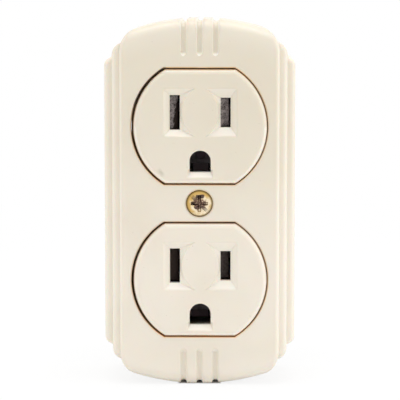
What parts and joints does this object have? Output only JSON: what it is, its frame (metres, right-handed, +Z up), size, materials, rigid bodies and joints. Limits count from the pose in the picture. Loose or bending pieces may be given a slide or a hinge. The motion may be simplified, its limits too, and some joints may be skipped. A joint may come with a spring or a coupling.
{
  "type": "surface mount outlet",
  "caption": "Wall outlet for surface mounting: arched ivory cover with stepped sides and fluted ends, D-shaped faces with blade slots and earth holes, brass screw, base and spring contacts.",
  "frame": {"origin": "centre of the base's back face, on the wall plane", "axes": "+Z up along the outlet's height, +Y into the wall, the front looks along -Y"},
  "size_m": [0.048, 0.0288, 0.092],
  "materials": {
    "cover_ivory": "moulded, satin gloss",
    "face_ivory": "moulded, satin gloss",
    "base_phenolic": "moulded dark brown",
    "screw_brass": "bright plated",
    "strip_brass": "stamped",
    "strip_plated": "stamped, tin plated",
    "contact_plated": "stamped, plated",
    "rivet_brass": "set",
    "rivet_steel": "set",
    "screw_silver": "bright plated",
    "screw_green": "green dyed"
  },
  "bodies": {
    "root": {"base": "base_phenolic", "contact_rivets": "rivet_brass", "cover": "cover_ivory", "cover_screw": "screw_brass", "face_rivets": "rivet_steel", "ground_rivets": "rivet_brass", "ground_strap": "strip_brass", "ground_terminal_screw": "screw_green", "hot_bus": "strip_brass", "hot_terminal_screws": "screw_brass", "lower_ground_contact": "contact_plated", "lower_hot_contact": "contact_plated", "lower_neutral_contact": "contact_plated", "neutral_bus": "strip_plated", "neutral_terminal_screws": "screw_silver", "receptacle_face": "face_ivory", "screw_insert": "strip_brass", "upper_ground_contact": "contact_plated", "upper_hot_contact": "contact_plated", "upper_neutral_contact": "contact_plated"}
  },
  "joints": []
}
